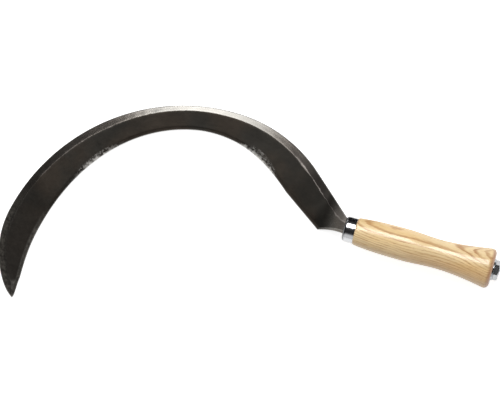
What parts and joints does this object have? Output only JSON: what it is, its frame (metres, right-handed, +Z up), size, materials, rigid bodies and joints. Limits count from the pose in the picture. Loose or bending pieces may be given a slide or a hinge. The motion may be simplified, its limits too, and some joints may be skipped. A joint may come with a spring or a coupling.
{
  "type": "sickle",
  "caption": "Hand sickle: forged crescent blade with a ribbed back, its tang through a turned wooden grip with a ferrule and a nut.",
  "frame": {"origin": "middle of the object's box in plan, on the plane that the back rib and the grip's butt rest on", "axes": "+X along the grip's axis towards the nut, +Z up, square to the flat of the blade, +Y towards the back of the bow"},
  "size_m": [0.4506, 0.218, 0.0366],
  "materials": {
    "blade_steel": "dark forge scale with a thin bright ground edge",
    "ferrule_chrome": "mirror",
    "grip_wood": "clear varnished ash",
    "zinc_steel": "zinc plated"
  },
  "bodies": {
    "root": {"blade": "blade_steel", "ferrule": "ferrule_chrome", "grip": "grip_wood", "washer": "zinc_steel", "nut": "zinc_steel"}
  },
  "joints": []
}
